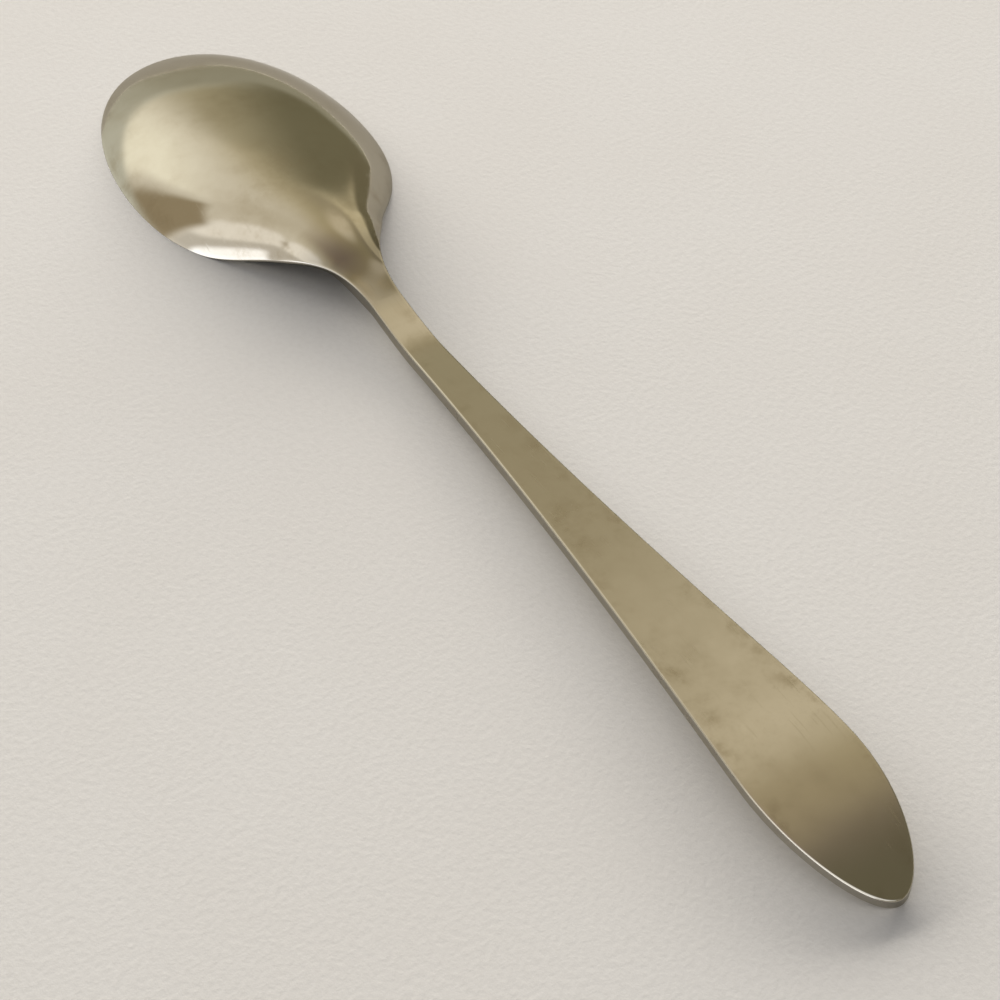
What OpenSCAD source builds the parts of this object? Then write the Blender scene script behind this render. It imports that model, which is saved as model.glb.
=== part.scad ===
// Child's spoon, pressed from one blank of white metal.
// It lies face down, as it is put down on a table: the back of the bowl is up.
// It rests on the bowl's rim, which is ground flat, and on the tip of the handle.
// +X runs from the bowl to the handle's tip, +Z is up, and Y = 0 is the mirror plane.
// The origin is on the table, under the middle of the spoon's box.
// All sizes are in millimetres. Distances along the spoon are counted from the bowl's tip.

/* [Overall] */
// Length from the bowl's tip to the handle's tip
spoon_len = 145; // [130:1:168]

/* [Bowl] */
// Greatest width of the bowl
bowl_w = 29.8; // [24:0.1:36]
// Distance from the bowl's tip to its widest place
bowl_widest = 24; // [20:0.5:30]
// Distance from the bowl's tip to the shoulder, where the neck starts
bowl_len = 44; // [38:0.5:52]
// Width of the bowl at the shoulder
shoulder_w = 13.6; // [11:0.1:17]
// Angle of the outline at the shoulder
shoulder_a = 28.5; // [20:0.5:40]
// Height of the bowl's back above the table
bowl_h = 5.75; // [4.75:0.05:9]
// Distance from the bowl's tip to its highest place
bowl_peak = 32.5; // [26:0.5:38]
// Slope of the bowl's front wall above the rim
front_a = 26; // [18:1:36]
// Fullness of the section at the bowl's widest place, where 0 is a parabola
bowl_full = 0.45; // [0:0.05:0.8]
// Fullness of the section at the shoulder
shoulder_full = 0.6; // [0:0.05:0.9]
// Thickness of the bowl's wall
bowl_t = 1.1; // [0.8:0.05:1.6]

/* [Neck] */
// Distance from the bowl's tip to the narrowest place of the neck
neck_at = 57; // [54:0.5:68]
// Width of the neck at its narrowest place
neck_w = 3.7; // [2.6:0.1:6]
// Thickness of the neck at its narrowest place
neck_t = 1.5; // [1.1:0.05:2.4]
// Distance from the shoulder to where the back falls most steeply
heel_len = 6; // [2:0.25:9]
// Height of the back at that place
heel_h = 4.35; // [3.8:0.05:6]
// Slope of the back at that place
heel_a = 16; // [10:0.5:28]
// Slope of the back at the narrowest place
neck_a = 4.5; // [1:0.5:10]
// Distance before the shoulder where the rim starts to rise off the table
rim_lift = 8; // [3:0.25:12]
// Distance behind the shoulder where the edges stand highest
arch_len = 7; // [4:0.25:10]
// Height of the edges at that place
arch_h = 3.7; // [2.4:0.05:4.5]

/* [Handle] */
// Distance from the narrowest place to the lowest place of the handle's back
stem_len = 9; // [5:0.25:14]
// Height of the back at that lowest place
stem_h = 2.3; // [1.8:0.05:3.2]
// Slope that the handle's flat back climbs at
handle_a = 1.7; // [0.5:0.1:3]
// Greatest width of the handle
handle_w = 12; // [9:0.2:17]
// Distance from the handle's tip to its widest place
handle_widest = 14; // [10:0.5:22]
// Thickness of the handle at its widest place
handle_t = 1.25; // [0.9:0.05:2]
// Length of the end that bends down to the table
tip_bend = 28; // [18:0.5:36]
// Thickness of the handle's tip
tip_t = 1.1; // [0.8:0.05:1.8]

/* [Edges] */
// Radius that the edges are rounded to
edge_r = 0.2; // [0.1:0.05:0.4]

/* [Hidden] */

metal = [0.72, 0.69, 0.6];

// Steps of the rounded edge, in degrees
edge_step = 30;
// Facets across the bowl's back, and across the flat handle
bowl_across = 26;
handle_across = 1;

half_bowl = bowl_w / 2;
half_shoulder = shoulder_w / 2;
half_neck = neck_w / 2;
half_handle = handle_w / 2;
wide_at = spoon_len - handle_widest;
bend_at = spoon_len - tip_bend;
heel_at = bowl_len + heel_len;
lift_at = bowl_len - rim_lift;
arch_at = bowl_len + arch_len;
stem_at = neck_at + stem_len;
back_len = bowl_len - bowl_widest;
root_len = neck_at - bowl_len;
shaft_len = wide_at - neck_at;

// Half of the outline as five curves, each with two ends and two pulls, as [distance, half width]
front_curve = [
    [0, 0],
    [0, 0.61 * half_bowl],
    [0.47 * bowl_widest, half_bowl],
    [bowl_widest, half_bowl]
];
side_curve = [
    [bowl_widest, half_bowl],
    [bowl_widest + 0.64 * back_len, half_bowl],
    [bowl_len - 0.25 * back_len, half_shoulder + 0.25 * back_len * tan(shoulder_a)],
    [bowl_len, half_shoulder]
];
root_curve = [
    [bowl_len, half_shoulder],
    [bowl_len + 0.24 * root_len, half_shoulder - 0.24 * root_len * tan(shoulder_a)],
    [neck_at - 0.51 * root_len, half_neck],
    [neck_at, half_neck]
];
shaft_curve = [
    [neck_at, half_neck],
    [neck_at + 0.5 * shaft_len, half_neck],
    [wide_at - 0.1 * shaft_len, half_handle],
    [wide_at, half_handle]
];
end_curve = [
    [wide_at, half_handle],
    [wide_at + 0.56 * handle_widest, half_handle],
    [spoon_len, 0.44 * half_handle],
    [spoon_len, 0]
];

// Point of a curve, and its direction, at share t of the curve
function on(c, t) =
    (1 - t) ^ 3 * c[0] + 3 * (1 - t) ^ 2 * t * c[1] + 3 * (1 - t) * t ^ 2 * c[2] + t ^ 3 * c[3];
function along(c, t) =
    3 * (1 - t) ^ 2 * (c[1] - c[0]) + 6 * (1 - t) * t * (c[2] - c[1]) + 3 * t ^ 2 * (c[3] - c[2]);

// A station is [distance, half width, slope of the outline]
function station(c, t) = let (d = along(c, t)) [on(c, t)[0], on(c, t)[1], d[1] / d[0]];
function stations(c, from, to, n) = [for (i = [0:n]) station(c, from + (to - from) * i / n)];

// Curve from height a with slope ma, at distance p, to height b with slope mb, at distance q
function within(v) = min(max(v, 0), 1);
function reach(a, ma, b, mb, p, q, s) =
    let (t = within((s - p) / (q - p)))
    let (rest = t ^ 3 - 2 * t ^ 2 + t, full = 3 * t ^ 2 - 2 * t ^ 3)
    a * (1 - full) + b * full + (q - p) * (ma * rest + mb * (t ^ 3 - t ^ 2));
// The same curve, level at both ends
function blend(a, b, p, q, s) = reach(a, 0, b, 0, p, q, s);

// How far the lower edge of the rounded handle tip hangs below its upper edge
function hang(t, r, m) = let (a = atan2(1, m)) t - r + r * sin(a) - m * r * (1 - cos(a));
handle_m = tan(handle_a);
end_h = stem_h + handle_m * (spoon_len - stem_at);
tip_r = min(edge_r, 0.45 * tip_t);
tip_z = hang(tip_t, tip_r, 3 * (end_h - tip_t) / tip_bend - handle_m);

// Height of the edges at distance s
function edge_z(s) =
    s < arch_at ? blend(0, arch_h, lift_at, arch_at, s) :
    s < stem_at ? reach(arch_h, 0, stem_h, handle_m, arch_at, stem_at, s) :
    stem_h + handle_m * (s - stem_at) - (end_h - tip_z) * within((s - bend_at) / tip_bend) ^ 3;
// Height of the back along the middle at distance s
function spine_z(s) =
    s < bowl_peak ? reach(0, tan(front_a), bowl_h, 0, 0, bowl_peak, s) :
    s < heel_at ? reach(bowl_h, 0, heel_h, -tan(heel_a), bowl_peak, heel_at, s) :
    s < neck_at ? reach(heel_h, -tan(heel_a), edge_z(neck_at), -tan(neck_a), heel_at, neck_at, s) :
    edge_z(s);
function dome(s) = spine_z(s) - edge_z(s);
function thick(s) =
    s < neck_at ? blend(bowl_t, neck_t, bowl_widest, neck_at, s) :
    s < wide_at ? blend(neck_t, handle_t, neck_at, wide_at, s) :
    blend(handle_t, tip_t, wide_at, spoon_len, s);

// How far the edge at distance s is left as it was pressed: 0 where the rim is ground flat
function pressed(s) = blend(0, 1, lift_at - 3, arch_at - 3, s);
function round_r(s) = max(0.04, min(edge_r, 0.45 * thick(s)) * pressed(s));

// Shape of the section across, from 1 at the middle to 0 at the rim, and its slope
function fullness(s) =
    s < bowl_len ? blend(bowl_full, shoulder_full, bowl_widest, bowl_len, s) :
    blend(shoulder_full, 0, bowl_len, neck_at, s);
function across(f, u) = (1 - u ^ 2) * (1 + f * u ^ 2);
function across_m(f, u) = 2 * u * (f - 1 - 2 * f * u ^ 2);

// Point that lies d under the back at station k and side distance y,
// but never below the rim's foot or the table
function steep(k, u) =
    (edge_z(k[0] + 0.01) - edge_z(k[0] - 0.01)
    + (dome(k[0] + 0.01) - dome(k[0] - 0.01)) * across(fullness(k[0]), u)) / 0.02;
function under(k, y, d) =
    let (s = k[0], u = y / k[1], f = fullness(s))
    let (my = dome(s) * across_m(f, u) / k[1])
    let (mx = steep(k, u) - my * u * k[2])
    let (n = [-mx * within((bowl_len - s) / back_len), -my, 1])
    let (p = [s, y, edge_z(s) + dome(s) * across(f, u)] - d * n / norm(n))
    [p[0], p[1], max(p[2], 0, edge_z(s) - thick(s) * pressed(s))];

// How far the edge rounding is open at distance s: 0 right at either tip, 1 away from them
function nose(s, r) =
    let (q = min(s, spoon_len - s) / r)
    q < 1 ? sqrt(max(0, 1 - (1 - q) ^ 2)) : 1;

// One section: the back from side to side, then the front from side to side
function section(k, n) =
    let (t = thick(k[0]), r = round_r(k[0]), w = k[1])
    let (g = nose(k[0], r))
    let (e = min(r * sqrt(1 + k[2] ^ 2), 0.98 * w))
    let (side = [for (a = [0:edge_step:89]) [w - e * (1 - cos(a)), r * (1 - g * sin(a))]])
    let (flat = [for (j = [0:n]) [(w - e) * (2 * j / n - 1), r * (1 - g)]])
    let (left = [for (p = side) [-p[0], p[1]]])
    let (right = [for (j = [len(side) - 1:-1:0]) side[j]])
    let (half = concat(left, flat, right))
    let (m = len(half) - 1)
    concat(
        [for (p = half) under(k, p[0], p[1])],
        [for (j = [m:-1:0]) under(k, half[j][0], t - half[j][1])]
    );

// Closed solid through a row of sections
module through(rows) {
    m = len(rows[0]);
    h = m / 2;
    z = len(rows) - 1;
    walls = [for (i = [0:z - 1]) for (j = [0:m - 1])
        let (a = i * m + j, b = i * m + (j + 1) % m)
        each [[a, b + m, b], [a, a + m, b + m]]];
    start = [for (j = [0:h - 2]) each [[j, j + 1, m - 2 - j], [j, m - 2 - j, m - 1 - j]]];
    end = [for (f = start) [f[2] + z * m, f[1] + z * m, f[0] + z * m]];
    polyhedron([for (row = rows) each row], concat(walls, start, end));
}

bowl_rows = [for (k = concat(
    [station(front_curve, 0.015)],
    stations(front_curve, 0.04, 0.12, 3),
    stations(front_curve, 0.16, 1, 20),
    stations(side_curve, 1 / 18, 1, 17))) section(k, bowl_across)];
neck_rows = [for (k = stations(root_curve, 0, 1, 14)) section(k, bowl_across)];
handle_rows = [for (k = concat(
    stations(shaft_curve, 0, 1, 24),
    stations(end_curve, 1 / 12, 0.9, 14),
    stations(end_curve, 0.93, 0.985, 3))) section(k, handle_across)];

// Where the spoon's box lies before it is brought to the origin
x_low = min([for (row = bowl_rows) for (p = row) p[0]]);
x_high = max([for (row = handle_rows) for (p = row) p[0]]);
z_low = min([for (row = concat(bowl_rows, handle_rows)) for (p = row) p[2]]);
to_origin = [-(x_low + x_high) / 2, 0, -z_low];

// Hollow egg-shaped shell, back up
module bowl() {
    color(metal) translate(to_origin) through(bowl_rows);
}

// Root that falls from the bowl's shoulder to the narrowest place
module neck() {
    color(metal) translate(to_origin) through(neck_rows);
}

// Flat bar that widens to a pointed-oval end, bent down at its tip
module handle() {
    color(metal) translate(to_origin) through(handle_rows);
}

bowl();
neck();
handle();
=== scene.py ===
import math

import bpy
import numpy as np
from mathutils import Matrix, Vector


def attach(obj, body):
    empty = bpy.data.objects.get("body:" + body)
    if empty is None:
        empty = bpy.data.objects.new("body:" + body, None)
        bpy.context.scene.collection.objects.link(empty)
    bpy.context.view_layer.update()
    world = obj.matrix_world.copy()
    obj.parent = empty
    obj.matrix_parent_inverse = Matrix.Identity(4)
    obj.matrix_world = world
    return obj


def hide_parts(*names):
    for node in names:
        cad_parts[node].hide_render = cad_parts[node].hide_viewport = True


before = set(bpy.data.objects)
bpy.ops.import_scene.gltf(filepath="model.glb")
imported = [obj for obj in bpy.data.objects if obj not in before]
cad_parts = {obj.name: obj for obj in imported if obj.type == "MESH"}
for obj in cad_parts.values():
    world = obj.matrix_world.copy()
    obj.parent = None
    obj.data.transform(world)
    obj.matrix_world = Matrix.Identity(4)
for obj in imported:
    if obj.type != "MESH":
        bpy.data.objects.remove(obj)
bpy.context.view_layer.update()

# Sizes of the spoon in millimetres, the same as in the part's source.
# Distances along the spoon are counted from the bowl's tip.
SPOON_LEN = 145.0
BOWL_W, BOWL_WIDEST, BOWL_LEN = 29.8, 24.0, 44.0
SHOULDER_W, SHOULDER_A = 13.6, 28.5
BOWL_H, BOWL_PEAK, FRONT_A, BOWL_T = 5.75, 32.5, 26.0, 1.1
BOWL_FULL, SHOULDER_FULL = 0.45, 0.6
NECK_AT, NECK_W, NECK_T, NECK_A = 57.0, 3.7, 1.5, 4.5
HEEL_LEN, HEEL_H, HEEL_A = 6.0, 4.35, 16.0
RIM_LIFT, ARCH_LEN, ARCH_H = 8.0, 7.0, 3.7
STEM_LEN, STEM_H, HANDLE_A = 9.0, 2.3, 1.7
HANDLE_W, HANDLE_WIDEST, HANDLE_T = 12.0, 14.0, 1.25
TIP_BEND, TIP_T, EDGE_R = 28.0, 1.1, 0.2
# Radius left on the rim where it is ground flat, and the step that slopes are measured over
SHARP_R, SLOPE_STEP = 0.04, 0.01
# The middle of the spoon's box comes to the frame's origin
TO_ORIGIN = np.array([-72.4983, 0.0, 0.0])

# Points across each face, and steps of each rounded edge
ACROSS = 96
EDGE_STEPS = 7

WIDE_AT = SPOON_LEN - HANDLE_WIDEST
BEND_AT = SPOON_LEN - TIP_BEND
HEEL_AT = BOWL_LEN + HEEL_LEN
LIFT_AT, ARCH_AT = BOWL_LEN - RIM_LIFT, BOWL_LEN + ARCH_LEN
STEM_AT = NECK_AT + STEM_LEN
BACK_LEN = BOWL_LEN - BOWL_WIDEST
ROOT_LEN = NECK_AT - BOWL_LEN
SHAFT_LEN = WIDE_AT - NECK_AT
HB, HS, HN, HH = BOWL_W / 2, SHOULDER_W / 2, NECK_W / 2, HANDLE_W / 2
LEAN, FRONT_M, HEEL_M, NECK_M, HANDLE_M = (
    math.tan(math.radians(a)) for a in (SHOULDER_A, FRONT_A, HEEL_A, NECK_A, HANDLE_A))

# Half of the outline as five curves of [distance, half width], each with two ends and two pulls
FRONT = [[0, 0], [0, 0.61 * HB], [0.47 * BOWL_WIDEST, HB], [BOWL_WIDEST, HB]]
SIDE = [[BOWL_WIDEST, HB], [BOWL_WIDEST + 0.64 * BACK_LEN, HB],
        [BOWL_LEN - 0.25 * BACK_LEN, HS + 0.25 * BACK_LEN * LEAN], [BOWL_LEN, HS]]
ROOT = [[BOWL_LEN, HS], [BOWL_LEN + 0.24 * ROOT_LEN, HS - 0.24 * ROOT_LEN * LEAN],
        [NECK_AT - 0.51 * ROOT_LEN, HN], [NECK_AT, HN]]
SHAFT = [[NECK_AT, HN], [NECK_AT + 0.5 * SHAFT_LEN, HN], [WIDE_AT - 0.1 * SHAFT_LEN, HH], [WIDE_AT, HH]]
END = [[WIDE_AT, HH], [WIDE_AT + 0.56 * HANDLE_WIDEST, HH], [SPOON_LEN, 0.44 * HH], [SPOON_LEN, 0]]


def stations(curve, shares):
    """Rows of [distance, half width, slope of the outline] at shares of one curve."""
    c = np.array(curve, float)
    t = np.asarray(shares, float)[:, None]
    p = (1 - t) ** 3 * c[0] + 3 * (1 - t) ** 2 * t * c[1] + 3 * (1 - t) * t ** 2 * c[2] + t ** 3 * c[3]
    d = 3 * (1 - t) ** 2 * (c[1] - c[0]) + 6 * (1 - t) * t * (c[2] - c[1]) + 3 * t ** 2 * (c[3] - c[2])
    return np.column_stack([p, d[:, 1] / d[:, 0]])


def reach(a, ma, b, mb, p, q, s):
    """Curve from height a with slope ma, at distance p, to height b with slope mb, at distance q."""
    t = np.clip((s - p) / (q - p), 0, 1)
    full = 3 * t ** 2 - 2 * t ** 3
    return a * (1 - full) + b * full + (q - p) * (ma * (t ** 3 - 2 * t ** 2 + t) + mb * (t ** 3 - t ** 2))


def blend(a, b, p, q, s):
    """The same curve, level at both ends."""
    return reach(a, 0, b, 0, p, q, s)


def hang(t, r, m):
    """How far the lower edge of the rounded handle tip hangs below its upper edge."""
    a = math.atan2(1, m)
    return t - r + r * math.sin(a) - m * r * (1 - math.cos(a))


END_H = STEM_H + HANDLE_M * (SPOON_LEN - STEM_AT)
TIP_Z = hang(TIP_T, min(EDGE_R, 0.45 * TIP_T), 3 * (END_H - TIP_T) / TIP_BEND - HANDLE_M)


def edge_z(s):
    """Height of the edges."""
    bend = np.clip((s - BEND_AT) / TIP_BEND, 0, 1)
    stem = STEM_H + HANDLE_M * (s - STEM_AT) - (END_H - TIP_Z) * bend ** 3
    neck = reach(ARCH_H, 0, STEM_H, HANDLE_M, ARCH_AT, STEM_AT, s)
    return np.where(s < ARCH_AT, blend(0, ARCH_H, LIFT_AT, ARCH_AT, s), np.where(s < STEM_AT, neck, stem))


def spine_z(s):
    """Height of the back along the middle."""
    front = reach(0, FRONT_M, BOWL_H, 0, 0, BOWL_PEAK, s)
    back = reach(BOWL_H, 0, HEEL_H, -HEEL_M, BOWL_PEAK, HEEL_AT, s)
    root = reach(HEEL_H, -HEEL_M, edge_z(np.array(NECK_AT)), -NECK_M, HEEL_AT, NECK_AT, s)
    bowl = np.where(s < BOWL_PEAK, front, np.where(s < HEEL_AT, back, root))
    return np.where(s < NECK_AT, bowl, edge_z(s))


def dome(s):
    """How far the back's middle stands above its edges."""
    return spine_z(s) - edge_z(s)


def thick(s):
    """Thickness of the metal."""
    return np.where(s < NECK_AT, blend(BOWL_T, NECK_T, BOWL_WIDEST, NECK_AT, s),
                    np.where(s < WIDE_AT, blend(NECK_T, HANDLE_T, NECK_AT, WIDE_AT, s),
                             blend(HANDLE_T, TIP_T, WIDE_AT, SPOON_LEN, s)))


def fullness(s):
    """Fullness of the section across, where 0 is a parabola."""
    return np.where(s < BOWL_LEN, blend(BOWL_FULL, SHOULDER_FULL, BOWL_WIDEST, BOWL_LEN, s),
                    blend(SHOULDER_FULL, 0, BOWL_LEN, NECK_AT, s))


def rings(rows):
    """Closed sections in metres, one for each station, and how far each point is from the outline."""
    s, w, m = (rows[:, i:i + 1] for i in range(3))
    t = thick(s)
    # Radius of the edges, sharper where the rim is ground flat, and how far it is open at the tips
    pressed = blend(0, 1, LIFT_AT - 3, ARCH_AT - 3, s)
    r = np.maximum(SHARP_R, np.minimum(EDGE_R, 0.45 * t) * pressed)
    q = np.minimum(np.minimum(s, SPOON_LEN - s) / r, 1)
    g = np.sqrt(np.maximum(0, 1 - (1 - q) ** 2))
    e = np.minimum(r * np.sqrt(1 + m ** 2), 0.98 * w)
    # Side distance y and depth d of each point: the back from side to side, then the front
    a = np.linspace(0, math.pi / 2, EDGE_STEPS, endpoint=False)[None, :]
    side_y, side_d = w - e * (1 - np.cos(a)), r * (1 - g * np.sin(a))
    flat_y = (w - e) * np.linspace(-1, 1, ACROSS + 1)[None, :]
    flat_d = r * (1 - g) + 0 * flat_y
    y = np.hstack([-side_y, flat_y, side_y[:, ::-1]])
    d = np.hstack([side_d, flat_d, side_d[:, ::-1]])
    y, d = np.hstack([y, y[:, ::-1]]), np.hstack([d, t - d[:, ::-1]])
    # Height of the back there, and its slopes along and across
    u, f, h = y / w, fullness(s), SLOPE_STEP
    full = (1 - u ** 2) * (1 + f * u ** 2)
    dome_m = (dome(s + h) - dome(s - h)) / (2 * h)
    edge_m = (edge_z(s + h) - edge_z(s - h)) / (2 * h)
    my = dome(s) * 2 * u * (f - 1 - 2 * f * u ** 2) / w
    mx = edge_m + dome_m * full - my * u * m
    # The points lie square under the back, but never below the rim's foot or the table
    n = np.stack([-mx * np.clip((BOWL_LEN - s) / BACK_LEN, 0, 1), -my, np.ones_like(u)], -1)
    n /= np.linalg.norm(n, axis=-1, keepdims=True)
    p = np.stack([s + 0 * u, y, edge_z(s) + dome(s) * full], -1) - d[..., None] * n
    p[..., 2] = np.maximum(np.maximum(p[..., 2], 0), edge_z(s) - t * pressed)
    return (p + TO_ORIGIN) / 1000, (w - np.abs(y)) / 1000


def share(a, b, n):
    """Shares of a curve from a to b in n equal steps."""
    return np.linspace(a, b, n + 1)


# Stations of each piece, closer together at the tips, and the rings where the pieces meet
bowl_rows = np.vstack([stations(FRONT, share(0.010, 0.16, 24)), stations(FRONT, share(0.16, 1, 70)[1:]),
                       stations(SIDE, share(0, 1, 60)[1:])])
neck_rows = stations(ROOT, share(0, 1, 60)[1:])
handle_rows = np.vstack([stations(SHAFT, share(0, 1, 120)[1:]), stations(END, share(0, 0.9, 50)[1:]),
                         stations(END, share(0.9, 0.99, 16)[1:])])
grid, rim = rings(np.vstack([bowl_rows, neck_rows, handle_rows]))
CUT_1 = len(bowl_rows) - 1
CUT_2 = CUT_1 + len(neck_rows)


def wall_faces(n_rings, n_around):
    """Faces between neighbouring rings."""
    i, j = np.meshgrid(np.arange(n_rings - 1), np.arange(n_around), indexing="ij")
    a, b = i * n_around + j, i * n_around + (j + 1) % n_around
    return np.stack([a, a + n_around, b + n_around, b], -1).reshape(-1, 4)


def cap_faces(first, n_around, start):
    """Faces that close one ring, at the start or the end of a piece."""
    j = np.arange(n_around // 2 - 1)
    f = first + np.stack([j, j + 1, n_around - 2 - j, n_around - 1 - j], -1)
    return f if start else f[:, ::-1]


def face_normals(points, faces):
    p = points[faces]
    return np.cross(p[:, 2] - p[:, 0], p[:, 3] - p[:, 1])


def smooth_normals():
    """Normals of the whole spoon, so that its three pieces meet without a seam in the shading."""
    n_rings, around, _ = grid.shape
    points = grid.reshape(-1, 3)
    faces = np.vstack([wall_faces(n_rings, around), cap_faces(0, around, True),
                       cap_faces((n_rings - 1) * around, around, False)])
    normal = np.zeros_like(points)
    each = face_normals(points, faces)
    for k in range(4):
        np.add.at(normal, faces[:, k], each)
    normal /= np.linalg.norm(normal, axis=1, keepdims=True)
    return normal.reshape(grid.shape)


normals = smooth_normals()


def piece(name, node, first, last, material):
    """Closed piece of the spoon between two rings of the grid, in place of one CAD node."""
    part = grid[first:last + 1]
    n_rings, around, _ = part.shape
    points = part.reshape(-1, 3)
    normal = normals[first:last + 1].reshape(-1, 3)
    walls = wall_faces(n_rings, around)
    caps = [cap_faces(0, around, True), cap_faces((n_rings - 1) * around, around, False)]
    faces = np.vstack([walls] + caps)
    mesh = bpy.data.meshes.new(name)
    mesh.from_pydata(points.tolist(), [], faces.tolist())
    mesh.polygons.foreach_set("use_smooth", np.ones(len(faces), bool))
    cut_normal = [(-1.0, 0.0, 0.0), (1.0, 0.0, 0.0)]
    loops = [normal[walls.reshape(-1)]]
    for cap, side, open_end in zip(caps, cut_normal, (first == 0, last == len(grid) - 1)):
        loops.append(normal[cap.reshape(-1)] if open_end else np.tile(side, (cap.size, 1)))
    mesh.normals_split_custom_set(np.vstack(loops).tolist())
    attribute = mesh.attributes.new("rim", "FLOAT", "POINT")
    attribute.data.foreach_set("value", rim[first:last + 1].reshape(-1).astype(np.float32))
    mesh.materials.append(material)
    obj = bpy.data.objects.new(name, mesh)
    bpy.context.scene.collection.objects.link(obj)
    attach(obj, "root")
    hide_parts(node)


class Tree:
    """Short ways to build a node tree."""

    def __init__(self, tree):
        self.tree = tree
        tree.nodes.clear()

    def add(self, kind, **settings):
        node = self.tree.nodes.new(kind)
        for key, value in settings.items():
            setattr(node, key, value)
        return node

    def put(self, socket, value):
        if isinstance(value, bpy.types.NodeSocket):
            self.tree.links.new(value, socket)
        else:
            socket.default_value = value

    def math(self, operation, a, b=0.0, clamp=False):
        node = self.add("ShaderNodeMath", operation=operation, use_clamp=clamp)
        self.put(node.inputs[0], a)
        self.put(node.inputs[1], b)
        return node.outputs[0]

    def ramp(self, value, a, b, low=0.0, high=1.0):
        """Smooth change from low at a to high at b."""
        node = self.add("ShaderNodeMapRange", interpolation_type="SMOOTHSTEP")
        self.put(node.inputs["Value"], value)
        for key, number in (("From Min", a), ("From Max", b), ("To Min", low), ("To Max", high)):
            self.put(node.inputs[key], number)
        return node.outputs["Result"]

    def mix(self, share, a, b):
        node = self.add("ShaderNodeMix", data_type="RGBA")
        self.put(node.inputs[0], share)
        for socket, value in ((node.inputs[6], a), (node.inputs[7], b)):
            self.put(socket, value if isinstance(value, bpy.types.NodeSocket) else (*value, 1.0))
        return node.outputs[2]

    def noise(self, vector, scale, detail, rough):
        node = self.add("ShaderNodeTexNoise")
        self.put(node.inputs["Vector"], vector)
        node.inputs["Scale"].default_value = scale
        node.inputs["Detail"].default_value = detail
        node.inputs["Roughness"].default_value = rough
        return node.outputs["Fac"]

    def stretched(self, vector, turn, size):
        node = self.add("ShaderNodeMapping")
        self.put(node.inputs["Vector"], vector)
        node.inputs["Rotation"].default_value = turn
        node.inputs["Scale"].default_value = size
        return node.outputs["Vector"]

    def times(self, *shares):
        result = shares[0]
        for factor in shares[1:]:
            result = self.math("MULTIPLY", result, factor)
        return result

    def scratches(self, vector, turn, along, across, limit):
        """Thin lines in one direction, turned in radians about the vertical."""
        streaks = self.noise(self.stretched(vector, (0, 0, turn), (along, across, 900)), 1.0, 2.0, 0.6)
        return self.ramp(streaks, limit, limit + 0.08)

    def bump(self, shader, relief, strength, distance):
        node = self.add("ShaderNodeBump")
        node.inputs["Strength"].default_value = strength
        node.inputs["Distance"].default_value = distance
        self.put(node.inputs["Height"], relief)
        self.put(shader.inputs["Normal"], node.outputs["Normal"])


# Tones of the metal, and how much light it mirrors at a grazing angle
METAL_LIGHT, METAL_DARK = (0.43, 0.402, 0.34), (0.404, 0.374, 0.31)
# The neck tone is a painted dark reflection: it darkens the metal to stand for a dark reflection, not for
# the metal's own colour.
PAINTED_NECK_REFLECTION, METAL_STAIN, METAL_WORN = (0.238, 0.22, 0.186), (0.306, 0.266, 0.197), (0.5, 0.475, 0.42)
METAL_GRAZING = (0.7, 0.68, 0.63)
# Tones of the table top
PAPER_LIGHT, PAPER_DARK, PAPER_GRAIN = (0.90, 0.885, 0.86), (0.88, 0.86, 0.83), (0.80, 0.78, 0.75)


def x_at(distance):
    """Place along X, in metres, at a distance in millimetres from the bowl's tip."""
    return (distance + TO_ORIGIN[0]) / 1000


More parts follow.
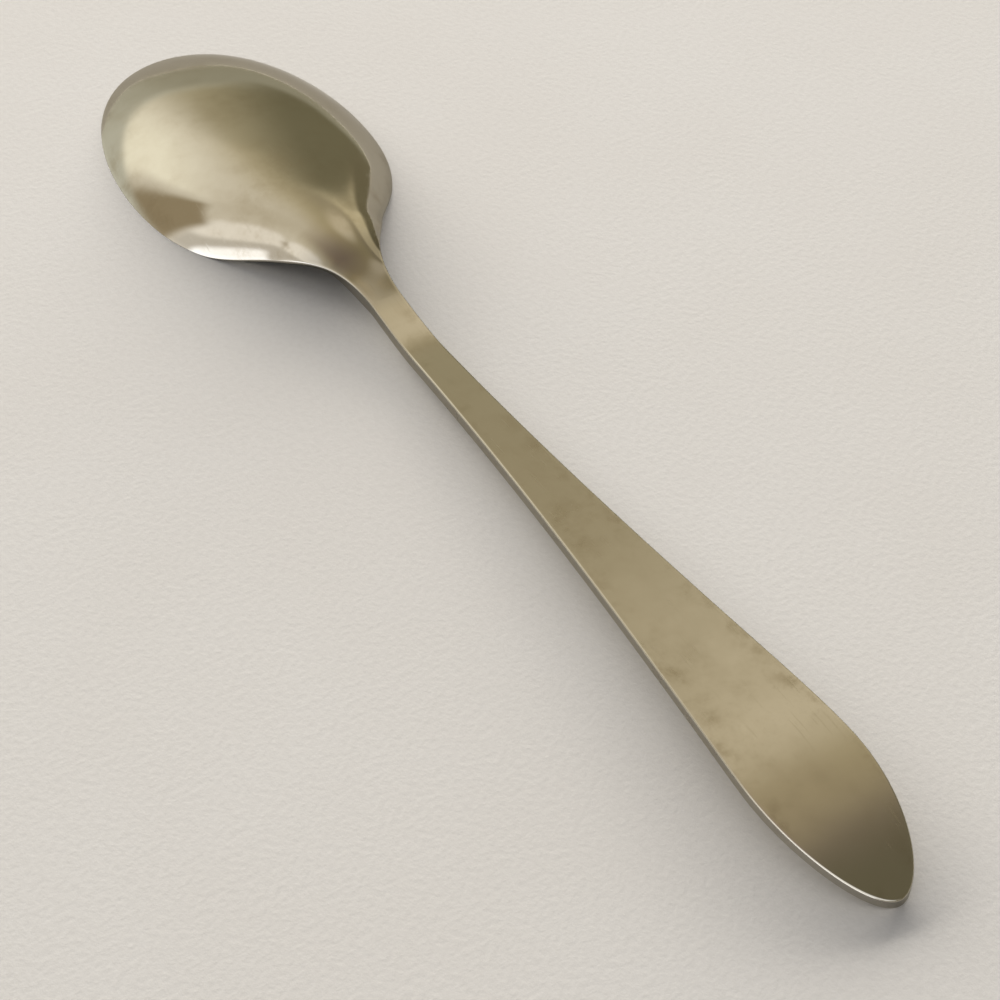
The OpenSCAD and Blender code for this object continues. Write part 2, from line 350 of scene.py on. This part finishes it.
def metal_material():
    """Old polished white metal: warm grey, faint tarnish, fine scratches, bright worn edges, and a
    painted dark reflection on the neck.
    """
    material = bpy.data.materials.new("white_metal")
    material.use_nodes = True
    t = Tree(material.node_tree)
    out = t.add("ShaderNodeOutputMaterial")
    shader = t.add("ShaderNodeBsdfPrincipled")
    t.put(out.inputs["Surface"], shader.outputs["BSDF"])
    place = t.add("ShaderNodeTexCoord").outputs["Object"]
    split = t.add("ShaderNodeSeparateXYZ")
    t.put(split.inputs[0], place)
    along = split.outputs["X"]
    rim_far = t.add("ShaderNodeAttribute", attribute_name="rim").outputs["Fac"]

    cloud = t.noise(place, 70, 4.0, 0.6)
    blotch = t.noise(place, 310, 5.0, 0.65)
    speck = t.noise(place, 2600, 2.0, 0.5)
    near_edge = t.ramp(rim_far, 0.0003, 0.0030, 1.0, 0.0)
    tarnish = t.times(t.ramp(cloud, 0.42, 0.72), t.ramp(blotch, 0.35, 0.7))
    edge_tarnish = t.times(near_edge, t.ramp(blotch, 0.48, 0.68))
    stain = t.math("ADD", t.times(tarnish, 0.55), t.times(edge_tarnish, 0.35), clamp=True)
    worn = t.ramp(rim_far, 0.0, 0.00045, 1.0, 0.0)
    # Painted dark reflection: the base colour is darkened over the neck, from about 45 to 59 mm from the
    # bowl's tip.
    neck_reflection_paint = t.times(t.ramp(along, x_at(45), x_at(50)), t.ramp(along, x_at(59), x_at(55)))

    colour = t.mix(t.ramp(cloud, 0.3, 0.7), METAL_LIGHT, METAL_DARK)
    # Lay the painted dark reflection over the neck
    colour = t.mix(neck_reflection_paint, colour, PAINTED_NECK_REFLECTION)
    colour = t.mix(stain, colour, METAL_STAIN)
    colour = t.mix(t.times(worn, 0.6), colour, METAL_WORN)
    t.put(shader.inputs["Base Color"], colour)
    shader.inputs["Metallic"].default_value = 1.0
    shader.inputs["Specular Tint"].default_value = (*METAL_GRAZING, 1.0)

    # Fine scratches in three directions
    lines = t.scratches(place, 0.35, 150, 5200, 0.66)
    lines = t.math("MAXIMUM", lines, t.scratches(place, -0.75, 160, 4300, 0.68))
    lines = t.math("MAXIMUM", lines, t.scratches(place, 1.25, 140, 3900, 0.69))

    # The handle is more worn and so duller than the bowl
    rough = t.ramp(along, x_at(56.5), x_at(76.5), 0.06, 0.16)
    for more in (t.ramp(cloud, 0.3, 0.75, 0.0, 0.05), t.times(stain, 0.14), t.times(lines, 0.08),
                 t.ramp(speck, 0.55, 0.75, 0.0, 0.03)):
        rough = t.math("ADD", rough, more)
    t.put(shader.inputs["Roughness"], rough)

    wave = t.noise(place, 160, 1.0, 0.4)
    relief = t.math("ADD", wave, t.times(lines, -0.05))
    relief = t.math("ADD", relief, t.times(speck, 0.02))
    t.bump(shader, relief, 0.35, 0.00006)
    return material


def paper_material():
    """Plain pale table top with a faint grain."""
    material = bpy.data.materials.new("pale_paper")
    material.use_nodes = True
    t = Tree(material.node_tree)
    out = t.add("ShaderNodeOutputMaterial")
    shader = t.add("ShaderNodeBsdfPrincipled")
    t.put(out.inputs["Surface"], shader.outputs["BSDF"])
    place = t.add("ShaderNodeTexCoord").outputs["Object"]
    cloud = t.noise(place, 26, 3.0, 0.55)
    grain = t.noise(place, 1500, 3.0, 0.6)
    colour = t.mix(t.ramp(cloud, 0.3, 0.7), PAPER_LIGHT, PAPER_DARK)
    colour = t.mix(t.ramp(grain, 0.35, 0.75, 0.0, 0.3), colour, PAPER_GRAIN)
    t.put(shader.inputs["Base Color"], colour)
    t.put(shader.inputs["Roughness"], t.ramp(grain, 0.3, 0.7, 0.75, 0.9))
    t.bump(shader, grain, 0.25, 0.0001)
    return material


# Camera of the photograph: where it looks, in millimetres from the bowl's tip, from how far,
# and its tilt, turn and roll in degrees
LOOK_AT, LOOK_FROM = (86.2569, -3.7063), 227.463
TILT, TURN, ROLL = 44.8848, -31.2342, 0.06
LENS = 82.8
# Direction in which it looks, turned about the vertical, in degrees from +X
AHEAD = 180 + TURN

# Window light on the table: turned left of straight ahead and up, in degrees, and its size in metres
LAMP_TURN, LAMP_UP, LAMP_FAR = 16, 13, 2.4
LAMP_SIZE, LAMP_POWER, LAMP_TONE = (4.8, 0.96), 222.0, (1.0, 0.95, 0.87)
TABLE_HALF = 4.0

# Tones of the room's areas, which the metal mirrors, and of the even light on the table
CEILING, CEILING_RIGHT, WALL_BEHIND = (0.505, 0.401, 0.351), (0.246, 0.222, 0.148), (1.46, 1.49, 1.55)
WALL_AHEAD, WALL_LEFT = (0.856, 0.745, 0.438), (1.283, 1.209, 1.051)
WALL_RIGHT, WALL_FOOT, WALL_SPOT = (0.622, 0.544, 0.383), (1.16, 1.04, 0.74), (1.2, 1.08, 0.84)
WINDOW, DARK, DARK_RIGHT = (1.87, 1.83, 1.62), (0.33, 0.303, 0.195), (0.325, 0.292, 0.19)
PALE, PALE_LOW, WHITE = (1.74, 1.69, 1.62), (1.12, 1.07, 1.0), (2.55, 2.6, 2.8)
BROWN = (0.584, 0.482, 0.326)
TABLE_LEFT, TABLE_RIGHT, BELOW = (1.05, 1.06, 0.95), (0.64, 0.62, 0.5), (0.62, 0.59, 0.55)
EVEN_LIGHT = (0.24, 0.238, 0.24)


def toward(turn, up):
    """Direction turned left of straight ahead, and up, both in degrees."""
    a, h = math.radians(AHEAD + turn), math.radians(up)
    return Vector((math.cos(h) * math.cos(a), math.cos(h) * math.sin(a), math.sin(h)))


def room_light():
    """Soft plain room, as areas laid over each other.

    Borders of an area are in degrees: its turn to the left of straight ahead, and its height.
    Each ramp runs from where the area starts to where it is full."""
    world = bpy.data.worlds.new("soft_room")
    bpy.context.scene.world = world
    world.use_nodes = True
    t = Tree(world.node_tree)
    out = t.add("ShaderNodeOutputWorld")
    light = t.add("ShaderNodeBackground")
    t.put(out.inputs["Surface"], light.outputs["Background"])
    look = t.add("ShaderNodeTexCoord").outputs["Generated"]

    def facing(turned, up):
        """Cosine of the angle to a direction."""
        node = t.add("ShaderNodeVectorMath", operation="DOT_PRODUCT")
        t.put(node.inputs[0], look)
        node.inputs[1].default_value = toward(turned, up)
        return node.outputs["Value"]

    def degrees(value):
        return t.times(value, 180 / math.pi)

    def away(turned, up):
        """Angle to a direction."""
        return degrees(t.math("ARCCOSINE", facing(turned, up)))

    turn = degrees(t.math("ARCTAN2", facing(90, 0), facing(0, 0)))
    height = degrees(t.math("ARCSINE", facing(0, 90)))
    colour = t.mix(t.ramp(turn, -13, -66), CEILING, CEILING_RIGHT)

    def lay(tone, *shares):
        nonlocal colour
        colour = t.mix(t.times(*shares), colour, tone)

    # Wall behind the camera
    lay(WALL_BEHIND, t.ramp(t.math("ABSOLUTE", turn), 118, 155), t.ramp(height, 80, 55))
    # Walls ahead, lighter towards the left
    ahead = t.ramp(turn, 135, 105)
    not_far_right = t.ramp(turn, -46, -28)
    lay(WALL_AHEAD, t.ramp(height, 84, 39), t.ramp(turn, -48, -30), ahead)
    lay(WALL_LEFT, t.ramp(height, 75, 44), t.ramp(turn, -4.5, 40), ahead)
    lay(WALL_RIGHT, t.ramp(height, 58, 38.5), not_far_right, t.ramp(turn, 20, 0))
    lay(WALL_FOOT, t.ramp(height, 40.5, 37), not_far_right, t.ramp(turn, 22, 8))
    lay(WALL_SPOT, t.ramp(away(-10.5, 49.5), 10, 3))
    # Window ahead on the left, and a dark area ahead on the right
    lay(WINDOW, t.ramp(height, 51.5, 29.5), t.ramp(turn, 10, 46), t.ramp(turn, 64, 56.5))
    lay(DARK, t.ramp(away(7.2, 9.4), 32, 26.5), t.ramp(turn, 30, -4))
    lay(DARK_RIGHT, t.ramp(height, 23, 15), t.ramp(turn, -14, -22))
    # Pale area on the left with a white strip low in it, and a brown area beside the window
    lay(PALE, t.ramp(height, 58, 44), t.ramp(turn, 84, 96))
    lay(PALE_LOW, t.ramp(height, 30, 25), t.ramp(turn, 92, 100))
    lay(WHITE, t.ramp(height, 22, 17), t.ramp(turn, 107, 115))
    slanted = t.math("ADD", height, t.times(turn, 0.25))
    lay(BROWN, t.ramp(slanted, 62.5, 57.5), t.ramp(turn, 63, 69), t.ramp(turn, 100, 88))
    # Far end of the table, lower towards the right, and below its edge
    lay(TABLE_LEFT, t.ramp(height, 18, 13), t.ramp(turn, -5, 32), t.ramp(turn, 100, 90))
    past_middle = t.math("MAXIMUM", t.math("SUBTRACT", 10.0, turn), 0.0)
    sloped = t.math("ADD", height, t.times(past_middle, 0.4))
    lay(TABLE_RIGHT, t.ramp(sloped, 16, 11.5), t.ramp(turn, 45, 5))
    lay(BELOW, t.ramp(height, 0, -4))

    # The metal shows the room, and the table gets an even light
    path = t.add("ShaderNodeLightPath")
    shows = t.math("MAXIMUM", path.outputs["Is Camera Ray"], path.outputs["Is Glossy Ray"])
    shows = t.math("MAXIMUM", shows, path.outputs["Is Transmission Ray"])
    t.put(light.inputs["Color"], t.mix(shows, EVEN_LIGHT, colour))
    light.inputs["Strength"].default_value = 1.0


def window_lamp():
    """Wide, low, soft light on the table from the window ahead."""
    data = bpy.data.lights.new("window_lamp", "AREA")
    data.shape = "RECTANGLE"
    data.size, data.size_y = LAMP_SIZE
    data.energy = LAMP_POWER
    data.color = LAMP_TONE
    obj = bpy.data.objects.new("window_lamp", data)
    direction = toward(LAMP_TURN, LAMP_UP)
    obj.location = direction * LAMP_FAR
    obj.rotation_euler = direction.to_track_quat("Z", "Y").to_euler()
    obj.visible_camera = obj.visible_glossy = obj.visible_transmission = False
    bpy.context.scene.collection.objects.link(obj)


def floor():
    """Plain table top under the spoon."""
    h = TABLE_HALF
    mesh = bpy.data.meshes.new("table_top")
    mesh.from_pydata([(-h, -h, 0), (h, -h, 0), (h, h, 0), (-h, h, 0)], [], [(0, 1, 2, 3)])
    mesh.materials.append(paper_material())
    obj = bpy.data.objects.new("table_top", mesh)
    bpy.context.scene.collection.objects.link(obj)


def camera():
    """Camera that looks down at the spoon from beside the handle."""
    tilt, turn, roll = (math.radians(a) for a in (TILT, TURN, ROLL))
    target = Vector((x_at(LOOK_AT[0]), LOOK_AT[1] / 1000, 0.0))
    ahead = Vector((-math.sin(tilt) * math.cos(turn), -math.sin(tilt) * math.sin(turn), -math.cos(tilt)))
    right = ahead.cross(Vector((0, 0, 1))).normalized()
    down = ahead.cross(right)
    right, down = (math.cos(roll) * right + math.sin(roll) * down,
                   math.cos(roll) * down - math.sin(roll) * right)
    data = bpy.data.cameras.new("camera")
    data.sensor_width = 36.0
    data.lens = LENS
    data.clip_start = 0.005
    obj = bpy.data.objects.new("camera", data)
    obj.matrix_world = Matrix.Translation(target - ahead * LOOK_FROM / 1000) @ Matrix(
        (right, -down, -ahead)).transposed().to_4x4()
    bpy.context.scene.collection.objects.link(obj)
    bpy.context.scene.camera = obj


metal = metal_material()
piece("bowl_shell", "bowl", 0, CUT_1, metal)
piece("neck_root", "neck", CUT_1, CUT_2, metal)
piece("handle_bar", "handle", CUT_2, len(grid) - 1, metal)
floor()
room_light()
window_lamp()
camera()
bpy.context.scene.view_settings.view_transform = "Standard"
